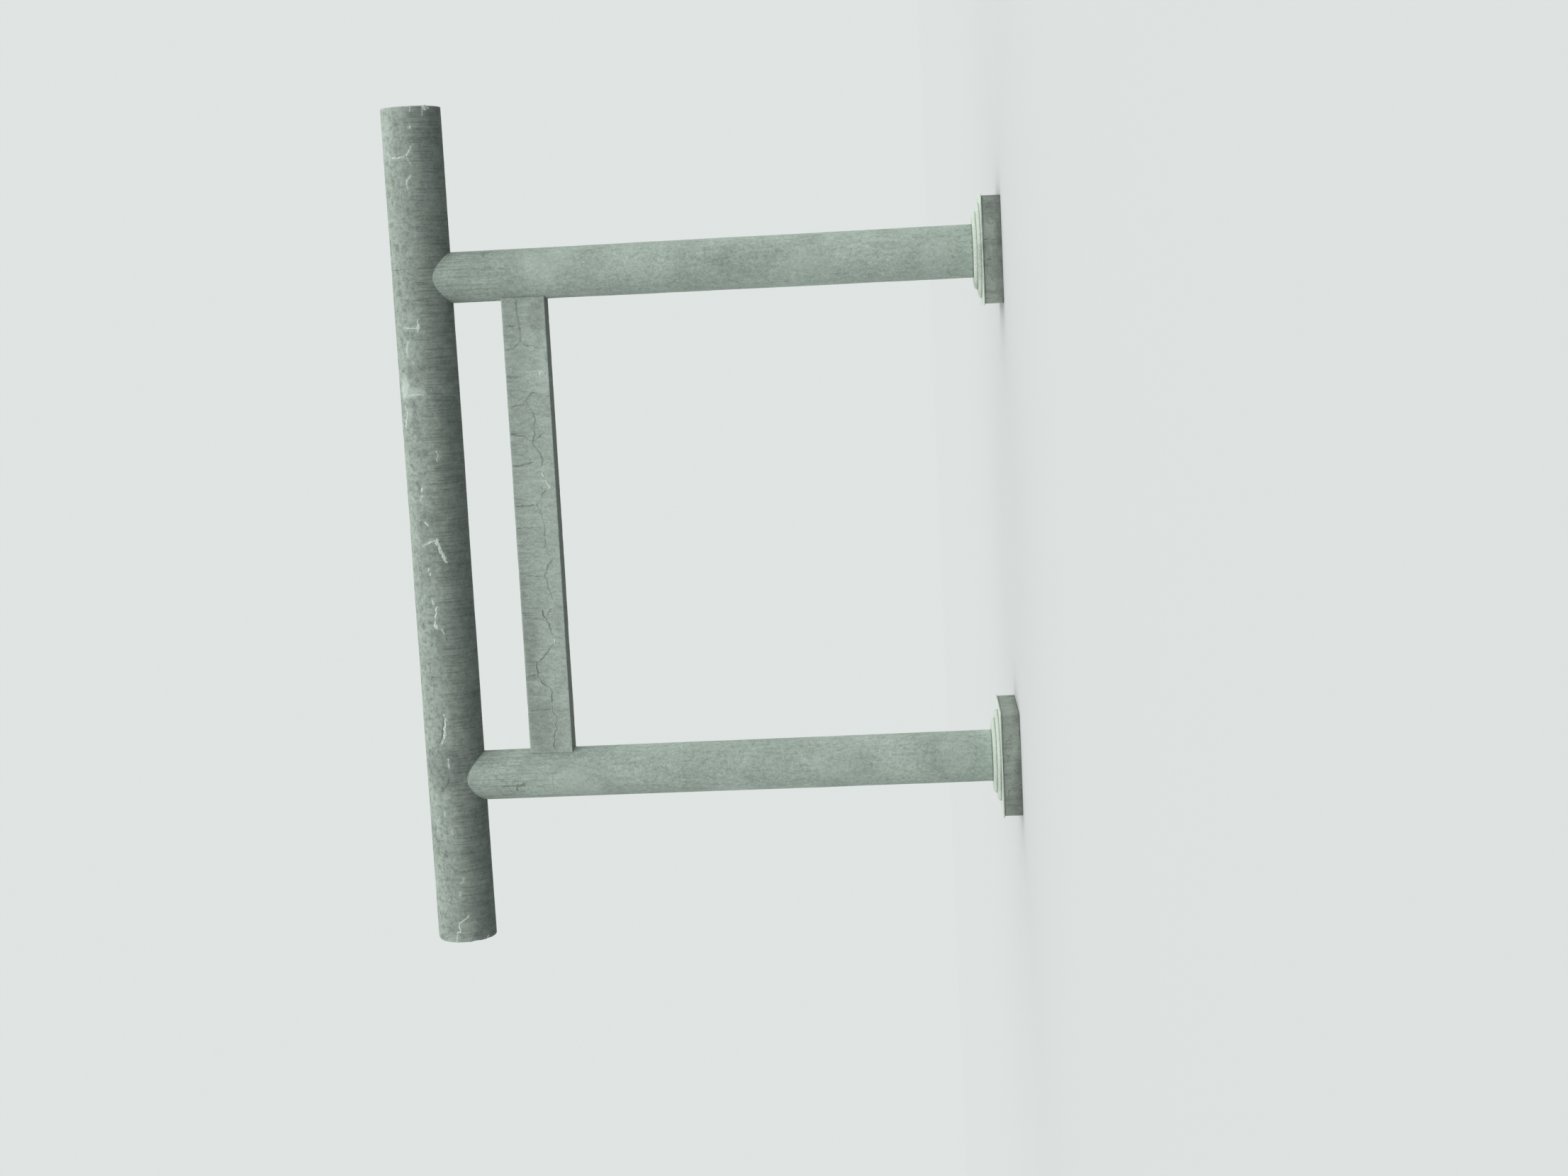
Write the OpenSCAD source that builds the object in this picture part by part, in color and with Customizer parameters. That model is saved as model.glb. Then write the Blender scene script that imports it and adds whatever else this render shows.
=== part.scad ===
// Torii gate of the plain round-log kind, in reinforced concrete on pale stone bases.
// Millimetres. +X runs along the top log, +Y to the back, +Z up.
// The origin is on the ground, midway between the pillars.

/* [Top log] */
// Length of the top log from end to end
log_length = 8550; // [7400:10:10000]
// Diameter of the top log
log_diameter = 600; // [540:10:720]
// Distance from a pillar's axis out to the joint between two lengths of the log
log_joint_offset = 100; // [60:5:230]
// Width of the bevel round each end of the log
log_bevel = 5; // [2:1:25]
// Width of the bevel round the rims that meet at each joint of the log
log_joint_bevel = 3; // [1:0.5:8]

/* [Pillars] */
// Distance between the two pillars' axes
pillar_spacing = 5140; // [4200:10:6200]
// Height of a pillar from its foot to the underside of the top log
pillar_height = 5270; // [4400:10:6400]
// Diameter of a pillar at its foot
pillar_foot_diameter = 530; // [500:5:600]
// Diameter of a pillar where the underside of the top log rests
pillar_top_diameter = 510; // [480:5:530]

/* [Tie beam] */
// Height of the tie beam's face
beam_height = 440; // [300:10:600]
// Thickness of the tie beam from front to back
beam_thickness = 250; // [160:10:340]
// Clear gap between the top log and the tie beam
beam_gap = 510; // [300:10:900]
// Width of the bevel on the tie beam's long edges
beam_bevel = 8; // [3:1:20]
// Depth to which each end of the tie beam is let into its pillar
beam_seat_depth = 90; // [70:5:140]

/* [Bases] */
// Projection of the upper ring beyond the pillar's foot
upper_ring_projection = 120; // [80:5:180]
// Height of the upper ring
upper_ring_height = 39; // [38:1:90]
// Radius of the upper ring's rounded edge
upper_ring_round = 36; // [12:1:38]
// Projection of the lower ring beyond the upper ring
lower_ring_projection = 84; // [50:2:140]
// Height of the lower ring
lower_ring_height = 36; // [34:1:70]
// Radius of the lower ring's rounded edge
lower_ring_round = 32; // [12:1:35]

/* [Footings] */
// Margin of the square slab beyond the lower ring
slab_margin = 71; // [50:1:260]
// Thickness of the slab
slab_thickness = 14; // [10:1:60]
// Overhang of the slab beyond the footing block
slab_overhang = 15; // [5:1:40]
// Width of the bevel on the slab's arrises
slab_bevel = 2; // [1:0.5:4]
// Height of the footing block
footing_height = 184; // [120:1:400]
// Width of the bevel on the footing block's arrises
footing_bevel = 6; // [2:1:15]

/* [Hidden] */
$fn = 180;

log_radius = log_diameter / 2;
foot_radius = pillar_foot_diameter / 2;
top_radius = pillar_top_diameter / 2;
upper_ring_radius = foot_radius + upper_ring_projection;
lower_ring_radius = upper_ring_radius + lower_ring_projection;
slab_side = 2 * (lower_ring_radius + slab_margin);
footing_side = slab_side - 2 * slab_overhang;

// Levels, from the ground up
slab_z = footing_height;
lower_ring_z = slab_z + slab_thickness;
upper_ring_z = lower_ring_z + lower_ring_height;
foot_z = upper_ring_z + upper_ring_height;
log_underside_z = foot_z + pillar_height;
log_axis_z = log_underside_z + log_radius;
beam_top_z = log_underside_z - beam_gap;
beam_z = beam_top_z - beam_height;

// Radius that the pillar's taper reaches at the level of the log's axis
radius_at_log_axis = foot_radius
    + (top_radius - foot_radius) * (pillar_height + log_radius) / pillar_height;
// Radius of the pillar at the middle of the tie beam
radius_at_beam = foot_radius
    + (top_radius - foot_radius) * (beam_z + beam_height / 2 - foot_z) / pillar_height;
// Half the length of the tie beam, with its seats
beam_half_length = pillar_spacing / 2
    - sqrt(pow(radius_at_beam, 2) - pow(beam_thickness / 2, 2)) + beam_seat_depth;
log_joint_x = pillar_spacing / 2 + log_joint_offset;

LEFT = -1;
RIGHT = 1;

module at_pillar(side, z) {
    translate([side * pillar_spacing / 2, 0, z]) children();
}

// Rectangle in the middle of its plane, with its corners cut off by a bevel
module bevelled_rectangle(width, height, bevel) {
    x = width / 2;
    y = height / 2;
    polygon([
        [-x + bevel, -y],
        [x - bevel, -y],
        [x, -y + bevel],
        [x, y - bevel],
        [x - bevel, y],
        [-x + bevel, y],
        [-x, y - bevel],
        [-x, -y + bevel]
    ]);
}

// Square block on the pillar's axis, with a bevel on every arris
module square_block(side_length, height, bevel) {
    translate([0, 0, height / 2])
        intersection() {
            linear_extrude(height, center = true)
                bevelled_rectangle(side_length, side_length, bevel);
            rotate([90, 0, 0])
                linear_extrude(side_length, center = true)
                    bevelled_rectangle(side_length, height, bevel);
            rotate([90, 0, 90])
                linear_extrude(side_length, center = true)
                    bevelled_rectangle(side_length, height, bevel);
        }
}

// Round step whose upper edge is a quarter round
module round_step(radius, height, edge_radius) {
    rotate_extrude() {
        square([radius - edge_radius, height]);
        square([radius, height - edge_radius]);
        intersection() {
            translate([radius - edge_radius, height - edge_radius]) circle(edge_radius);
            square([radius, height]);
        }
    }
}

// Length of the top log between two places along X, with a bevelled rim at each end
module log_between(x_start, x_end, start_bevel, end_bevel) {
    run = x_end - x_start;
    color("lightgray")
        translate([x_start, 0, log_axis_z])
            rotate([0, 90, 0])
                rotate_extrude()
                    polygon([
                        [0, 0],
                        [log_radius - start_bevel, 0],
                        [log_radius, start_bevel],
                        [log_radius, run - end_bevel],
                        [log_radius - end_bevel, run],
                        [0, run]
                    ]);
}

// Plain round from end to end of the top log, which cuts the pillars' saddles
module log_round() {
    translate([-log_length / 2, 0, log_axis_z])
        rotate([0, 90, 0])
            cylinder(r = log_radius, h = log_length);
}

module tie_beam_solid() {
    translate([0, 0, beam_z + beam_height / 2])
        rotate([90, 0, 90])
            linear_extrude(2 * beam_half_length, center = true)
                bevelled_rectangle(beam_thickness, beam_height, beam_bevel);
}

// Tapered round pillar, cut to seat the top log and the end of the tie beam
module pillar(side) {
    color("gainsboro")
        difference() {
            at_pillar(side, foot_z)
                cylinder(
                    r1 = foot_radius,
                    r2 = radius_at_log_axis,
                    h = pillar_height + log_radius
                );
            log_round();
            tie_beam_solid();
        }
}

module footing(side) {
    color("gray")
        at_pillar(side, 0)
            square_block(footing_side, footing_height, footing_bevel);
}

module base_slab(side) {
    color("whitesmoke")
        at_pillar(side, slab_z)
            square_block(slab_side, slab_thickness, slab_bevel);
}

module lower_ring(side) {
    color("whitesmoke")
        at_pillar(side, lower_ring_z)
            round_step(lower_ring_radius, lower_ring_height, lower_ring_round);
}

module upper_ring(side) {
    color("whitesmoke")
        at_pillar(side, upper_ring_z)
            round_step(upper_ring_radius, upper_ring_height, upper_ring_round);
}

module tie_beam() {
    color("darkgray") tie_beam_solid();
}

module top_log_left() {
    log_between(-log_length / 2, -log_joint_x, log_bevel, log_joint_bevel);
}

module top_log_middle() {
    log_between(-log_joint_x, log_joint_x, log_joint_bevel, log_joint_bevel);
}

module top_log_right() {
    log_between(log_joint_x, log_length / 2, log_joint_bevel, log_bevel);
}

footing(LEFT);  // left_footing
footing(RIGHT);  // right_footing
base_slab(LEFT);  // left_base_slab
base_slab(RIGHT);  // right_base_slab
lower_ring(LEFT);  // left_lower_ring
lower_ring(RIGHT);  // right_lower_ring
upper_ring(LEFT);  // left_upper_ring
upper_ring(RIGHT);  // right_upper_ring
pillar(LEFT);  // left_pillar
pillar(RIGHT);  // right_pillar
tie_beam();
top_log_left();
top_log_middle();
top_log_right();
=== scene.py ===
import math

import bmesh
import bpy
import numpy as np
from mathutils import Matrix, Vector


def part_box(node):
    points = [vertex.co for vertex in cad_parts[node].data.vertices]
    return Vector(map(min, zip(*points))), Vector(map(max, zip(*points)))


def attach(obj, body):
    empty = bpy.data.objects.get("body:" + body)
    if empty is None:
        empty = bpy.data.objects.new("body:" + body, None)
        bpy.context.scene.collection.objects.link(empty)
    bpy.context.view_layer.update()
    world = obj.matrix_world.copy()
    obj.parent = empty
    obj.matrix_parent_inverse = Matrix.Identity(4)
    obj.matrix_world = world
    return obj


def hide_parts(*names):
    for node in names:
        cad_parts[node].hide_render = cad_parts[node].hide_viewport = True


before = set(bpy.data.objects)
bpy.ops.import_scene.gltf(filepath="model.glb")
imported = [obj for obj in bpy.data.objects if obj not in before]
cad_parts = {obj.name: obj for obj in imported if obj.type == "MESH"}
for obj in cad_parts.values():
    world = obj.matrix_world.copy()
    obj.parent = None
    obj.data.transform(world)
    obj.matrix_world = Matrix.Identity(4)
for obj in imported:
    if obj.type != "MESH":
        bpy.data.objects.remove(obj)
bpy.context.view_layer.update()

MM = 0.001
CM = 0.01
SIDES = {"left": -1, "right": 1}
FACES = {"front": -1, "back": 1}

# Places and sizes of the gate, from the frame
LOG_LOW, LOG_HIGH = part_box("top_log_middle")
LOG_RADIUS = (LOG_HIGH.z - LOG_LOW.z) / 2
LOG_AXIS_Z = (LOG_HIGH.z + LOG_LOW.z) / 2
LOG_JOINT_X = LOG_HIGH.x
LOG_END_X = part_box("top_log_right")[1].x
PILLAR_LOW, PILLAR_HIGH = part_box("right_pillar")
PILLAR_X = (PILLAR_LOW.x + PILLAR_HIGH.x) / 2
FOOT_Z = PILLAR_LOW.z
FOOT_RADIUS = (PILLAR_HIGH.x - PILLAR_LOW.x) / 2
HORN_POINTS = [v.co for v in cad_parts["right_pillar"].data.vertices if v.co.z > PILLAR_HIGH.z - MM]
HORN_RADIUS = max(abs(co.y) for co in HORN_POINTS)
PILLAR_TAPER = (FOOT_RADIUS - HORN_RADIUS) / (PILLAR_HIGH.z - FOOT_Z)
BEAM_LOW, BEAM_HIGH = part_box("tie_beam")
BEAM_HEIGHT = BEAM_HIGH.z - BEAM_LOW.z
SLAB_LOW, SLAB_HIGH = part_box("right_base_slab")

# Camera, as fitted to the outlines in the photo: metres and degrees
EYE = Vector((2.24, -23.007, 0.988))
LOOK_YAW = -7.39
LOOK_PITCH = 3.31
LOOK_ROLL = -2.475
FOCAL_PIXELS = 3200.6
PICTURE_WIDTH = 2212
SENSOR_WIDTH = 36.0
CAMERA_REACH = 500

# Light: its level, and its gain upwards and to the right
LIGHT_LEVEL = 1.48
LIGHT_LIFT = 0.33
LIGHT_SIDE = 0.5

# Surroundings: half the floor's side, its colour to the camera and to the light, and the backdrop
FLOOR_REACH = 60
FLOOR_COLOR = (0.43, 0.45, 0.445)
FLOOR_BOUNCE = (0.22, 0.22, 0.22)
BACKDROP_COLOR = (0.74, 0.78, 0.77)
WHITE = (1.0, 1.0, 1.0)

# Rounded edges of the pieces, and the most that a chip takes off them
LOG_BEVEL = 5 * MM
LOG_JOINT_BEVEL = 1 * MM
LOG_CHIP = 7 * MM
BEAM_BEVEL = 8 * MM
BEAM_CHIP = 3 * MM
RING_ROUNDS = {"upper": 36 * MM, "lower": 32 * MM}
RING_CHIP = 3 * MM
BLOCK_BEVELS = {"base_slab": 2 * MM, "footing": 6 * MM}
BLOCK_CHIPS = {"base_slab": 1.6 * MM, "footing": 4.2 * MM}

# Mesh spacing
LOG_STEP = 13 * MM
PILLAR_STEP = 15 * MM
BEAM_STEP = 12 * MM
BASE_STEP = 12 * MM
CRUST_STEP = 2.5 * MM
CRACK_STEP = 5 * MM
RIM_STEP = 6 * MM
NORMAL_STEP = 4 * MM

# Relief of the cast surfaces: height and size of its swells, and of its small hollows
SWELL_HEIGHT = 1.6 * MM
SWELL_SIZE = 0.7
HOLLOW_HEIGHT = 0.5 * MM
HOLLOW_SIZE = 0.07

# Share of the relief on the stones of the bases
RING_RELIEF = 0.5
BLOCK_RELIEF = 0.6

# Chips along the worn edges: their length and width
CHIP_LENGTH = 11 * CM
CHIP_WIDTH = 14 * MM

# Distance down the pillars in which their rain streaks die out
STREAK_REACH = 1.6

# How far wear reaches from the rims and arrises, and lime from the crusts
LOG_WEAR = 12 * MM
BEAM_WEAR = 7 * MM
BASE_WEAR = 8 * MM
LIME_HALO = 20 * MM

# How far darkening reaches: painted shade at a pillar's foot, dirt and painted shade from the other
# seams, and below the log, dark dirt with painted shade and then faint dirt
FOOT_SHADE = 6 * MM
SEAM_DIRT_AND_SHADE = 8 * MM
HEAD_DIRT_AND_SHADE = 6 * CM
HEAD_STAIN = 45 * CM

# Size of the dirty blotches on the bases, and depths over which the log's marks fade on its ends
BLOTCH_SIZE = 25 * CM
END_FADE = (-60 * MM, -10 * MM)

# Cracks: width of the dirt beside them, sideways wavers, and how far from their ends they narrow
CRACK_DIRT_WIDTH = 25 * MM
CRACK_WAVER = 9 * MM
CRACK_TAPER = 4 * CM

# Size of a crack's large and small wavers, and of the changes in its width and in its dirt
SWAY_SIZE = 5 * CM
JITTER_SIZE = 16 * MM
CLEFT_CHANGE = 5 * CM
DIRT_CHANGE = 6 * CM

# Edge lines of a crack's cleft and of a dirty strip: share of the half width, lift in millimetres
CLEFT_SECTION = [(-1, 0.2), (-0.5, 0.4), (0.5, 0.4), (1, 0.2), (0, -2)]
STRIP_SECTION = [(-1, 0), (-0.6, 0.15), (-0.2, 0.2), (0.2, 0.2), (0.6, 0.15), (1, 0), (0, -2)]

# Dirt painted on a dirty strip's edge lines
STRIP_DIRT = [0.0, 0.4, 1.0, 1.0, 0.4, 0.0, 0.0]

# Lime crusts: lift of their middle as a share of their width, and depth of their edges and of their
# underside in the stone
CRUST_LIFT = 0.25
CRUST_EDGE = 2 * MM
CRUST_SINK = 5 * MM

# Depth to which a pillar's saddle reaches into the log, so that no light shows between them
SADDLE_SINK = 3 * MM

# Seeds of the noise: each surface's first one, to which its chips, washes and stains add their own
LOG_SEED = 11
PILLAR_SEED = 23
BEAM_SEED = 37
BASE_SEED = 51
CRACK_SEEDS = {"beam": 100, "log": 200}

# Seeds of the lime crusts on the front and on the back: the first one, and the step to the next
CRUST_SEEDS = {"log": [(300, 1), (400, 1)], "beam": [(499, 2), (501, 2)]}

# Primes and masks that scatter the noise's cells
CELL_PRIMES = (73856093, 19349663, 83492791)
SEED_PRIME = 15485863
SCATTER = 1274126177
BITS_31 = 0x7FFFFFFF
BITS_47 = 0x7FFFFFFFFFFF
BITS_16 = 0xFFFF

# Depth of the materials' bumps
BUMP_DEPTH = 2 * MM

# Colours, linear
LOG_COLOR = (0.224, 0.267, 0.236)
LOG_BLEACHED = (0.238, 0.282, 0.247)
LOG_DIRT = (0.118, 0.148, 0.129)
PILLAR_COLOR = (0.281, 0.342, 0.299)
PILLAR_PALE = (0.322, 0.390, 0.342)
PILLAR_STREAK = (0.165, 0.207, 0.182)
BEAM_COLOR = (0.276, 0.331, 0.292)
BEAM_PALE = (0.308, 0.367, 0.325)
# The beam's streaks, and the painted shade on its underside
BEAM_STREAK_AND_SHADE = (0.165, 0.198, 0.174)
RING_COLOR = (0.415, 0.478, 0.413)
SLAB_COLOR = (0.460, 0.522, 0.462)
STONE_DIRT = (0.200, 0.230, 0.195)
FOOTING_COLOR = (0.255, 0.297, 0.258)
FOOTING_DAMP = (0.110, 0.133, 0.114)
LIME_COLOR = (0.470, 0.545, 0.490)
CRACK_COLOR = (0.100, 0.120, 0.106)

# Cracks in the tie beam's front. Each has the width of its cleft in millimetres, the strength of the dirt
# beside it, and its route: centimetres along the beam from its middle, and up from its underside
BEAM_CRACKS = [
    # Seam along the beam
    (1.9, 0.9, [(-231, 19), (-214, 18), (-209, 15), (-204, 16), (-199, 14), (-193, 17), (-182, 19)]),
    (2, 1.0, [(-182, 19), (-170, 17), (-166, 20), (-162, 25), (-153, 32), (-150, 31), (-140, 31),
              (-131, 22), (-120, 12)]),
    (2.8, 1.3, [(-112, 12), (-106, 15), (-94, 18), (-89, 21), (-84, 23)]),
    (1.5, 0.8, [(-94, 18), (-88, 16), (-83, 12)]),
    (1.8, 0.9, [(-75, 10), (-66, 13), (-50, 17), (-43, 15), (-36, 12), (-33, 7)]),
    (1.3, 0.7, [(-30, 11), (-19, 14), (-11, 15), (4, 14), (9, 15), (17, 18), (23, 21),
                (25, 19), (33, 15), (39, 9)]),
    (1.1, 0.65, [(60, 14), (68, 12), (75, 14), (81, 18), (86, 20), (97, 19), (113, 17),
                 (119, 19), (130, 26), (132, 24), (138, 18), (138, 13)]),
    (1.3, 0.7, [(182, 44), (182, 35), (185, 31), (189, 27), (206, 27), (215, 28), (232, 29)]),
    # Forks of the seam
    (1.3, 0.7, [(88, 20), (92, 15), (97, 10)]),
    (1.2, 0.7, [(189, 26), (186, 23), (185, 19), (184, 12), (182, 7)]),
    # Cracks down from the top, and a mark at the foot
    (1.4, 0.8, [(-189, 44), (-189, 18)]),
    (2.4, 1.2, [(-153, 44), (-152, 38), (-152, 32)]),
    (1, 0.5, [(-116, 44), (-117, 38)]),
    (0.9, 0.45, [(-94, 44), (-94, 37), (-94, 19)]),
    (0.8, 0.35, [(-82, 40), (-83, 22)]),
    (0.9, 0.6, [(-49, 44), (-50, 18)]),
    (2.4, 1.1, [(0, 44), (1, 37)]),
    (0.8, 0.35, [(1, 38), (0, 15)]),
    (2.4, 1.2, [(23, 44), (23, 34), (23, 22)]),
    (1.3, 0.7, [(65, 44), (65, 34), (66, 27), (68, 21)]),
    (1.8, 0.9, [(96, 44), (95, 33), (92, 27), (89, 22), (86, 20)]),
    (1.1, 0.55, [(124, 44), (126, 35), (126, 28), (130, 26)]),
    (1.2, 0.6, [(150, 44), (149, 30)]),
    (1.5, 0.8, [(206, 44), (206, 36), (205, 27)]),
    (1, 0.5, [(113, 6), (113, 1)]),
]

# Cracks in the top log, as above, with routes in centimetres along it and degrees up from its front
LOG_CRACKS = [
    (3, 0.9, [(-112, -11), (-104, -12)]),
    (3, 0.9, [(-103, -8), (-97, -8)]),
    (1.5, 0.6, [(-102, -12), (-103, -31)]),
    (1.5, 0.8, [(-217, 20), (-213, 14), (-205, 10), (-194, 7), (-187, 10)]),
    (1, 0.5, [(209, 0), (209, -30)]),
]

# Lime crusts on the top log: width in millimetres, then the route as for its cracks
LOG_CRUSTS = [
    # From left to right
    (14, [(-427, 11), (-417, 9), (-416, 1), (-411, 4), (-407, 3), (-403, -9), (-400, -16)]),
    (15, [(-426, -54), (-424, -57)]),
    (8, [(-365, -4), (-363, -10), (-359, -11)]),
    (11, [(-378, -2), (-374, -2)]),
    (15, [(-312, 5), (-308, 5)]),
    (10, [(-293, 18), (-289, 18)]),
    (20, [(-242, 3), (-234, 3)]),
    (25, [(-211, 7), (-206, 7), (-198, 3), (-190, 3), (-187, 6)]),
    (11, [(-102, -6), (-98, -2)]),
    (26, [(-97, 6), (-94, 10), (-86, 8), (-75, 4)]),
    (20, [(-72, 11), (-67, 11)]),
    (13, [(-42, 13), (-40, 12)]),
    (14, [(-37, 16), (-35, 15)]),
    (33, [(-28, -21), (-23, -16), (-16, -11), (-9, -6), (-6, -7)]),
    (14, [(-12, 27), (-8, 8), (-6, -5)]),
    (15, [(8, 9), (12, 15)]),
    (17, [(34, 22), (39, 18)]),
    (27, [(43, 19), (46, 17)]),
    (11, [(74, -17), (76, -15), (78, -18), (80, -19), (84, -16)]),
    (14, [(109, 50), (118, 44), (124, 41), (130, 47)]),
    (13, [(141, 32), (142, 16), (141, 2)]),
    (13, [(181, 29), (187, 30), (195, 26)]),
    (10, [(173, 17), (175, 18)]),
    (13, [(209, 34), (208, 5)]),
    (22, [(205, 3), (210, 1), (216, 2)]),
    (7, [(371, 45), (378, 39), (386, 45)]),
    (13, [(378, 39), (377, 21), (378, 6), (381, -2), (388, -9)]),
    (5, [(378, 2), (374, -1), (371, -5)]),
    (13, [(347, 3), (352, 5), (355, 3), (359, -4)]),
    (15, [(405, -9), (407, -9)]),
    (11, [(422, -11), (426, -11)]),
    (42, [(425, -38), (425, -44), (425, -50)]),
    (9, [(418, -34), (427, -35)]),
    # Thin ends of two of them
    (9, [(-217, 14), (-214, 10), (-211, 8)]),
    (9, [(138, 45), (146, 47), (157, 46)]),
]

# Lime crusts on the tie beam: width in millimetres, then the route as for its cracks
BEAM_CRUSTS = [
    (26, [(-119, 11), (-117, 11)]),
    (22, [(39, 8), (41, 6), (43, 7), (48, 10)]),
    (22, [(53, 12), (55, 13)]),
    (34, [(156, 7.5), (157.5, 5.5)]),
]

# Pale washes on the top log: centimetres along, degrees up, width and height in centimetres, strength
LOG_WASHES = [
    (-415, -12, 14, 9, 0.3),
    (150, 43, 13, 9, 0.9),
    (143, 22, 6, 18, 0.7),
    (121, 40, 13, 6, 0.25),
    (400, 50, 34, 12, 0.3),
    (425, 20, 8, 20, 0.25),
    (-290, 40, 16, 10, 0.15),
]

# Dark patches on the top log, in the same units
LOG_STAINS = [
    (-240, 2, 28, 12, 0.45),
    (-245, 30, 26, 14, 0.4),
    (-250, 18, 16, 4, 0.35),
    (-110, 4, 14, 6, 0.3),
    (-30, 24, 60, 8, 0.25),
    (12, 10, 10, 8, 0.35),
    (140, 25, 40, 5, 0.25),
    (44, 25, 4, 14, 0.3),
    (-320, 60, 20, 10, 0.2),
]

# Dark lines of dirt on the top log: reach in centimetres, strength, route as for its cracks
LOG_DIRT_LINES = [
    (1.7, 1.3, [(-265, 23), (-262, 11), (-257, 6), (-251, 2), (-247, 5), (-243, 14), (-241, 19)]),
    (1.5, 0.7, [(-236, 8), (-228, 17), (-221, 22), (-216, 22)]),
    (1.2, 0.6, [(-266, 40), (-266, -12)]),
]

# Dirty lines on a pillar: width in millimetres, strength, then the route in degrees from its front and
# centimetres above ground
PILLAR_MARKS = [
    # Smear below the top log
    (40, 1.0, [(-17, 535), (-19, 523), (-19, 515), (-13, 507)]),
    (20, 0.7, [(-17, 560), (-16, 540), (-18, 524)]),
    (44, 1.0, [(-38, 517), (-27, 518), (-10, 516)]),
    (34, 1.0, [(-26, 520), (-17, 514), (-11, 507)]),
    # Drips
    (17, 0.8, [(6, 570), (5, 558), (6, 544)]),
    (15, 0.4, [(5, 548), (7, 530), (6, 512)]),
    (18, 0.6, [(30, 563), (29, 540), (30, 510)]),
    (12, 0.4, [(-41, 552), (-42, 500)]),
    (10, 0.4, [(47, 548), (48, 500)]),
    # Web of fine cracks
    (12, 0.6, [(-36, 479), (-17, 480), (9, 479)]),
    (9, 0.4, [(-12, 446), (2, 439), (9, 428), (6, 412), (14, 401), (30, 398)]),
    (9, 0.4, [(-44, 421), (-30, 413), (-26, 396), (-33, 381), (-28, 366)]),
    (9, 0.5, [(22, 371), (10, 362), (-6, 358), (-14, 342), (-10, 321), (-22, 309)]),
    (9, 0.4, [(36, 340), (28, 322), (33, 301), (25, 284)]),
    (9, 0.5, [(-36, 268), (-19, 262), (-12, 249), (4, 243), (9, 226), (2, 207)]),
    (9, 0.4, [(20, 196), (12, 181), (17, 160), (8, 141)]),
]

# Degrees by which the marks are turned round each pillar
PILLAR_MARK_TURNS = {"left": [0, 130, 225], "right": [80, 190, 300]}

# Pale patches on a pillar: degrees from its front, centimetres above ground, width and height in
# centimetres, strength
PILLAR_WASHES = [
    (-18, 448, 20, 32, 0.35),
    (-5, 178, 24, 26, 0.25),
    (5, 64, 26, 22, 0.25),
]

# Dark patches on a pillar, in the same units
PILLAR_STAINS = [
    (-6, 246, 26, 34, 0.2),
    (-24, 526, 16, 22, 0.3),
]

# Pale patches on the tie beam: centimetres along and up, width and height in centimetres, strength
BEAM_WASHES = [
    (157, 4, 7, 3, 0.6),
    (173, 6, 13, 3, 0.45),
    (186, 2, 8, 2, 0.4),
    (150, 5, 28, 5, 0.25),
    (48, 10, 9, 2.5, 0.25),
    (30, 30, 60, 10, 0.1),
]

# Dark patches on the tie beam, in the same units
BEAM_STAINS = [
    (-205, 26, 40, 24, 0.3),
    (-120, 38, 60, 9, 0.35),
    (-60, 42, 30, 5, 0.3),
    (-95, 6, 30, 6, 0.15),
    (215, 9, 26, 11, 0.4),
]

# Dark patches on a footing, damp stains with painted shadow: centimetres along from under its pillar's
# axis and up, then as above
FOOTING_STAINS_AND_SHADE = [
    # Damp stain, and painted shadow of the bushes, on the outer part
    (-36, 10, 14, 12, 0.45),
    # Damp stain, and painted contact shadow, low down at the ground
    (-8, 2, 22, 5, 0.4),
]

# Dark marks on a footing's face: width in millimetres, strength, route in the same places
FOOTING_MARKS = [
    # Gashes
    (26, 1.8, [(-10, 18), (-10, 11)]),
    (26, 1.3, [(9, 16), (9.5, 10)]),
    # Cracks
    (16, 0.8, [(-44, 12), (-38, 16), (-31, 13), (-27, 15), (-24, 10), (-28, 6)]),
    (14, 0.7, [(-3, 12), (3, 14), (9, 12), (15, 15), (22, 14)]),
    (14, 0.6, [(24, 17), (25, 12), (31, 10), (33, 4)]),
]


# Camera


def add_camera():
    """The picture is stored on its side: its right is the gate's down, its top the gate's right."""
    yaw, pitch, roll = (math.radians(a) for a in (LOOK_YAW, LOOK_PITCH, LOOK_ROLL))
    forward = Vector((math.sin(yaw) * math.cos(pitch), math.cos(yaw) * math.cos(pitch), math.sin(pitch)))
    level_right = Vector((math.cos(yaw), -math.sin(yaw), 0))
    level_up = level_right.cross(forward)
    right = math.cos(roll) * level_right + math.sin(roll) * level_up
    up = -math.sin(roll) * level_right + math.cos(roll) * level_up
    data = bpy.data.cameras.new("camera")
    data.sensor_fit = "HORIZONTAL"
    data.sensor_width = SENSOR_WIDTH
    data.lens = SENSOR_WIDTH * FOCAL_PIXELS / PICTURE_WIDTH
    data.clip_end = CAMERA_REACH
    camera = bpy.data.objects.new("camera", data)
    turn = Matrix((-up, right, -forward)).transposed().to_4x4()
    camera.matrix_world = Matrix.Translation(EYE) @ turn
    bpy.context.scene.collection.objects.link(camera)
    bpy.context.scene.camera = camera


# Noise


def lattice(cells, seed):
    """Repeatable value from -1 to 1 for each whole-number cell."""
    mixed = np.bitwise_xor.reduce(cells * CELL_PRIMES, axis=1) ^ seed * SEED_PRIME
    mixed = (mixed ^ mixed >> 13 & BITS_31) & BITS_31
    mixed = mixed * SCATTER & BITS_47
    return (mixed >> 14 & BITS_16) / (BITS_16 // 2) - 1


def lumps(points, seed):
    """Smooth noise with one lump to a unit of length."""
    cells = np.floor(points).astype(np.int64)
    part = points - cells
    part = part * part * (3 - 2 * part)
    total = np.zeros(len(points))
    for corner in np.ndindex(2, 2, 2):
        weight = np.prod(np.where(np.array(corner, bool), part, 1 - part), axis=1)
        total += weight * lattice(cells + corner, seed)
    return total


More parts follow.
